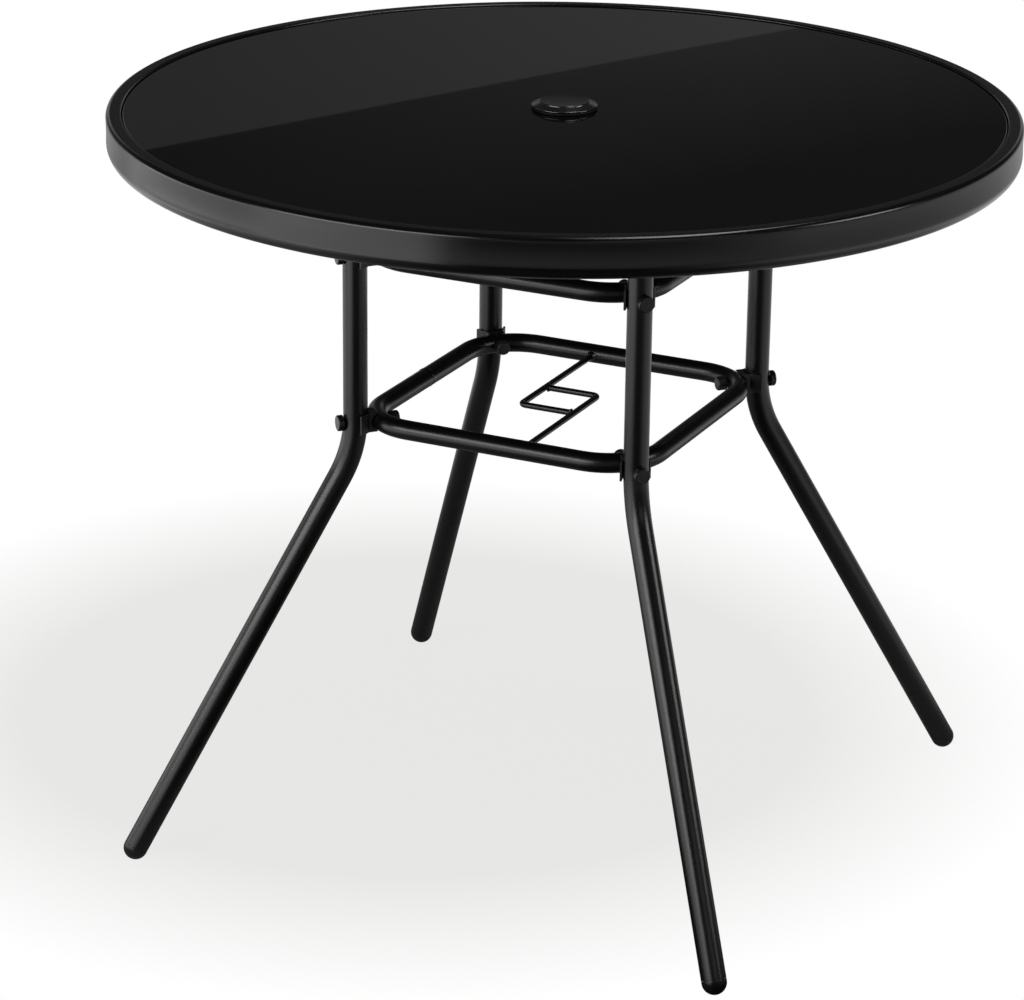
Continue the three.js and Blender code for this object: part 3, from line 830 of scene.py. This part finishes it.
def bolt_shape(height):
    tip_z = -(LEG_REACH - NUT_SEAT + NUT_BORE - GAP)
    bolt = turned_bolt(tip_z, HEAD_SEAT - LEG_REACH, HEAD_RADIUS, HEAD_HEIGHT, HEAD_ROUND)
    return lying(bolt, LEG_REACH, height)


def nut_shape(height):
    bore, edge = SHANK + HOLE_GAP, TURNED_EDGE
    shoulder = -NUT_HEIGHT + NUT_ROUND + NUT_SHOULDER
    profile = [(0, -NUT_HEIGHT), (NUT_RADIUS * NUT_CROWN_SHARE, -NUT_HEIGHT + NUT_CROWN)]
    profile += arc(NUT_RADIUS - NUT_ROUND, shoulder, NUT_ROUND, -HEAD_TURN, 0, NUT_STEPS)
    profile += arc(NUT_RADIUS - edge, -edge, edge, 0, 90, EDGE_STEPS)
    profile += [(bore, 0), (bore, -NUT_BORE), (0, -NUT_BORE)]
    return lying(lathe(profile, FASTENER_FACETS), NUT_SEAT, height)


def top_bolt_shape():
    seat = RAIL_TOP + GAP
    bolt = turned_bolt(seat - TOP_BOLT, seat, TOP_HEAD_RADIUS, TOP_HEAD_HEIGHT, TOP_HEAD_ROUND)
    return moved(bolt, Matrix.Translation((LEG_REACH, 0, 0)))


fittings = [
    ("tube_leg", leg_shape(), painted, "painted_steel", "leg"),
    ("domed_foot", foot_shape(), foot_satin, "black_plastic", "foot"),
    ("leg_plug", top_plug_shape(), plastic, "black_plastic", "top_plug"),
    ("rail_bolt", top_bolt_shape(), oxide, "blackened_steel", "top_bolt"),
]
for loop, height in (("upper", UPPER_Z), ("lower", LOWER_Z)):
    fittings += [
        (f"hollowed_saddle_{loop}", saddle_shape(height), plastic, "black_plastic", f"saddle_{loop}"),
        (f"round_bolt_{loop}", bolt_shape(height), oxide, "blackened_steel", f"bolt_{loop}"),
        (f"cap_nut_{loop}", nut_shape(height), plastic, "black_plastic", f"nut_{loop}"),
    ]
for index, corner in enumerate(CORNERS):
    turn = Matrix.Rotation(math.radians(45 + 90 * index), 4, "Z")
    for name, shape, material, slot, node in fittings:
        mesh_piece(f"{name}_{corner}", moved(shape, turn), material, f"{node}_{corner}")

# Camera, from the fit to the photograph's outlines. Lengths are in metres, turns in radians
# and the focus in pixels.
FRONT_LEG_BEARING = 0.3523
CAMERA_AZIMUTH = math.pi / 4 - FRONT_LEG_BEARING
CAMERA_DISTANCE = 3.47646
CAMERA_HEIGHT = 1.63906
CAMERA_YAW = 0.0130
CAMERA_PITCH = 0.3617
CAMERA_ROLL = 0.0119
CAMERA_FOCUS = 3779.44
CAMERA_SENSOR = 36
CAMERA_CLIP_END = 100
PHOTO_WIDTH = 1024

toward = Matrix.Rotation(CAMERA_AZIMUTH, 3, "Z")
ahead = Vector((
    -math.sin(CAMERA_YAW) * math.cos(CAMERA_PITCH),
    math.cos(CAMERA_YAW) * math.cos(CAMERA_PITCH),
    -math.sin(CAMERA_PITCH),
))
level = Vector((math.cos(CAMERA_YAW), math.sin(CAMERA_YAW), 0))
above = level.cross(ahead)
right = math.cos(CAMERA_ROLL) * level + math.sin(CAMERA_ROLL) * above
upright = -math.sin(CAMERA_ROLL) * level + math.cos(CAMERA_ROLL) * above
camera_data = bpy.data.cameras.new("camera")
camera_data.sensor_width = CAMERA_SENSOR
camera_data.lens = CAMERA_FOCUS / PHOTO_WIDTH * camera_data.sensor_width
camera_data.clip_end = CAMERA_CLIP_END
camera = bpy.data.objects.new("camera", camera_data)
bpy.context.scene.collection.objects.link(camera)
basis = Matrix((toward @ right, toward @ upright, toward @ -ahead)).transposed()
place = toward @ Vector((0, -CAMERA_DISTANCE, CAMERA_HEIGHT))
camera.matrix_world = Matrix.Translation(place) @ basis.to_4x4()
bpy.context.scene.camera = camera

# Studio, laid out as the camera stands: X to its right, Y away from it, metres.
# A ramp is a span of a value and the two results at its ends.
STUDIO_TURN = Matrix.Rotation(CAMERA_AZIMUTH, 4, "Z")
ACROSS = STUDIO_TURN @ Vector((1, 0, 0))
AWAY = STUDIO_TURN @ Vector((0, 1, 0))

# Floor: pale, with a painted grey shadow under the table that the table's real shadow darkens faintly,
# and plain white further out
FLOOR_RADII = (2000, 14000)
FLOOR_FACETS = 96
FLOOR_COLOUR = (0.45, 0.45, 0.445, 1)
# Painted shadow: a grey the camera sees under the table in place of most of its cast shadow, its share
# of the view, its middle and its fade out to white
PAINTED_SHADOW_COLOUR = (0.888, 0.888, 0.873, 1)
PAINTED_SHADOW_SHARE = 0.88
PAINTED_SHADOW_MIDDLE = (-0.15, 0.24, 0)
PAINTED_SHADOW_FADE = ((0.42, 0.68), (0.0, 1.0))
SIDE_LIGHT = ((0.55, 0.95), (1.0, 0.0))
SIDE_LIGHT_DROPS = (((1.5, 1.9), (1.0, 0.76)), ((2.15, 2.45), (1.0, 0.63)))
FAR_LIGHT = ((2.3, 3.2), (0.0, 0.42))
FRONT_SHADE = ((0.45, 0.85), (0.0, 0.9))
MIRRORED_FLOOR = ((0.8, 1.5), (0.0, 1.0))


def floor_material():
    """The camera sees a painted grey shadow under the table on white, with a little of the lit floor
    mixed in, which keeps the table's real shadow faintly. The table's gloss sees the floor dimmed
    in front, and white from further out, dimmer there too."""
    material = bpy.data.materials.new("floor_pale")
    tree = new_tree(material)
    path = make(tree, "ShaderNodeLightPath", {}).outputs
    position = make(tree, "ShaderNodeNewGeometry", {}).outputs["Position"]

    # Distance from the middle of the painted shadow, which fades to white further out
    shadow_middle = STUDIO_TURN @ Vector(PAINTED_SHADOW_MIDDLE)
    from_shadow_middle = vector_calc(tree, "LENGTH", vector_calc(tree, "SUBTRACT", position, shadow_middle))
    off_painted_shadow = ramp(tree, from_shadow_middle, *PAINTED_SHADOW_FADE)
    front = vector_calc(tree, "DOT_PRODUCT", position, -AWAY)
    reach = vector_calc(tree, "LENGTH", position)
    frontal = calc(tree, "DIVIDE", front, reach)

    strength = ramp(tree, frontal, *SIDE_LIGHT)
    for drop in SIDE_LIGHT_DROPS:
        strength = calc(tree, "MULTIPLY", strength, ramp(tree, reach, *drop))
    strength = calc(tree, "MAXIMUM", strength, ramp(tree, reach, *FAR_LIGHT))
    clear = calc(tree, "MAXIMUM", path["Is Camera Ray"], path["Is Transmission Ray"])
    strength = calc(tree, "MAXIMUM", clear, strength)
    white = make(tree, "ShaderNodeEmission", {"Strength": strength})

    shaded = calc(tree, "MULTIPLY", path["Is Glossy Ray"], ramp(tree, frontal, *FRONT_SHADE))
    mirrored = calc(tree, "MULTIPLY", path["Is Glossy Ray"], ramp(tree, reach, *MIRRORED_FLOOR))
    far_white = calc(tree, "MAXIMUM", calc(tree, "MULTIPLY", clear, off_painted_shadow), mirrored)
    # Near the table the camera sees mostly the painted grey shadow and a little of the lit floor
    painted_shadow_share = calc(tree, "MULTIPLY", path["Is Camera Ray"], PAINTED_SHADOW_SHARE)

    diffuse = make(tree, "ShaderNodeBsdfDiffuse", {"Color": FLOOR_COLOUR})
    painted_shadow = make(tree, "ShaderNodeEmission", {"Color": PAINTED_SHADOW_COLOUR})
    unlit = make(tree, "ShaderNodeEmission", {"Strength": 0.0})
    near = mix_shaders(tree, painted_shadow_share, diffuse.outputs["BSDF"], painted_shadow.outputs["Emission"])
    near = mix_shaders(tree, shaded, near, unlit.outputs["Emission"])
    whole = mix_shaders(tree, far_white, near, white.outputs["Emission"])
    make(tree, "ShaderNodeOutputMaterial", {"Surface": whole})
    return material


floor_mesh = bpy.data.meshes.new("floor")
floor_verts, floor_faces = lathe([(0, 0)] + [(radius, 0) for radius in FLOOR_RADII], FLOOR_FACETS)
floor_mesh.from_pydata([Vector(v) * MM for v in floor_verts], [], floor_faces)
floor_mesh.materials.append(floor_material())
floor = bpy.data.objects.new("floor", floor_mesh)
bpy.context.scene.collection.objects.link(floor)

# Soft boxes: name, bearing from the camera's side and elevation in degrees, distance, width,
# height, radiance, and the height on the table's axis that they face
SOFT_BOXES = (
    ("light_top", 90, 76, 2.8, 2.0, 0.8, 5.0, 0.45),
    ("light_left", -47, 19, 3.0, 2.5, 0.9, 4.7, 0.45),
    ("light_left_low", -95, 0, 3.0, 2.4, 0.9, 1.2, 0.45),
    ("light_right", 73, 23, 3.0, 1.1, 0.9, 5.0, 0.45),
    ("light_right_front", 25, 21, 3.0, 1.7, 0.25, 1.5, 0.45),
    ("light_floor_front", -48, 0, 1.5, 1.2, 0.8, 1.3, 0.42),
    ("light_floor_left", -95, 0, 1.4, 1.4, 0.8, 0.5, 0.42),
)

for name, bearing, elevation, distance, width, height, radiance, aim in SOFT_BOXES:
    data = bpy.data.lights.new(name, "AREA")
    data.shape = "RECTANGLE"
    data.size = width
    data.size_y = height
    data.energy = radiance * width * height * math.pi
    lamp = bpy.data.objects.new(name, data)
    bpy.context.scene.collection.objects.link(lamp)
    azimuth = CAMERA_AZIMUTH + math.radians(bearing)
    climb = math.radians(elevation)
    outward = Vector((
        math.sin(azimuth) * math.cos(climb),
        -math.cos(azimuth) * math.cos(climb),
        math.sin(climb),
    ))
    lamp.location = Vector((0, 0, aim)) + outward * distance
    lamp.rotation_mode = "QUATERNION"
    lamp.rotation_quaternion = outward.to_track_quat("Z", "Y")
    lamp.visible_camera = False

# World. Two directions span the plane of the straight edge that shows in the glass. The room is
# lighter above it, and brightens across the view on both sides of it.
EDGE_DIRECTIONS = ((-0.1007, 0.9591, 0.2646), (0.0457, 0.9706, 0.2362))
EDGE_BLUR = ((-0.0001, 0.0001), (0.0, 1.0))
ROOM_LIGHT = ((-0.10, 0.046), (0.093, 0.141))
ROOM_DARK = 0.032
ROOM_RISE = ((-0.10, 0.046), (0.0, 0.043))
ROOM_RISE_FADE = ((-0.036, 0.0), (0.0, 1.0))
HORIZON = ((0.04, 0.12), (0.15, 0.0))
PANEL_INNER = ((0.15, 0.22), (0.0, 0.5))
PANEL_OUTER = ((0.34, 0.42), (1.0, 0.0))
PANEL_TOP = ((0.30, 0.42), (1.0, 0.0))
PANEL_DEPTH = ((0.6, 0.75), (0.0, 1.0))


def studio_world():
    """White to the camera. Otherwise a dim room, lighter low down and in two panels behind
    the table."""
    world = bpy.data.worlds.new("studio")
    tree = new_tree(world)
    direction = make(tree, "ShaderNodeTexCoord", {}).outputs["Generated"]
    first, second = (STUDIO_TURN @ Vector(edge).normalized() for edge in EDGE_DIRECTIONS)
    below = second.cross(first).normalized()
    if below.z > 0:
        below = -below
    side = vector_calc(tree, "DOT_PRODUCT", direction, below)
    across = vector_calc(tree, "DOT_PRODUCT", direction, ACROSS)
    height = vector_calc(tree, "DOT_PRODUCT", direction, Vector((0, 0, 1)))
    depth = vector_calc(tree, "DOT_PRODUCT", direction, AWAY)
    sideways = calc(tree, "ABSOLUTE", across)

    rise = calc(tree, "MULTIPLY", ramp(tree, across, *ROOM_RISE), ramp(tree, side, *ROOM_RISE_FADE))
    room = make(tree, "ShaderNodeMix", {
        "Factor": ramp(tree, side, *EDGE_BLUR),
        "A": calc(tree, "ADD", rise, ROOM_DARK),
        "B": ramp(tree, across, *ROOM_LIGHT),
    }).outputs["Result"]
    room = calc(tree, "MAXIMUM", room, ramp(tree, height, *HORIZON))
    panel = calc(tree, "MULTIPLY", ramp(tree, sideways, *PANEL_INNER), ramp(tree, height, *PANEL_TOP))
    panel = calc(tree, "MULTIPLY", panel, ramp(tree, depth, *PANEL_DEPTH))
    panel = calc(tree, "MULTIPLY", panel, ramp(tree, sideways, *PANEL_OUTER))
    room = calc(tree, "MAXIMUM", room, panel)

    dim = make(tree, "ShaderNodeBackground", {"Strength": room})
    white = make(tree, "ShaderNodeBackground", {"Color": (1, 1, 1, 1)})
    seen = make(tree, "ShaderNodeLightPath", {}).outputs["Is Camera Ray"]
    whole = mix_shaders(tree, seen, dim.outputs["Background"], white.outputs["Background"])
    make(tree, "ShaderNodeOutputWorld", {"Surface": whole})
    return world


bpy.context.scene.world = studio_world()
bpy.context.scene.view_settings.view_transform = "Standard"
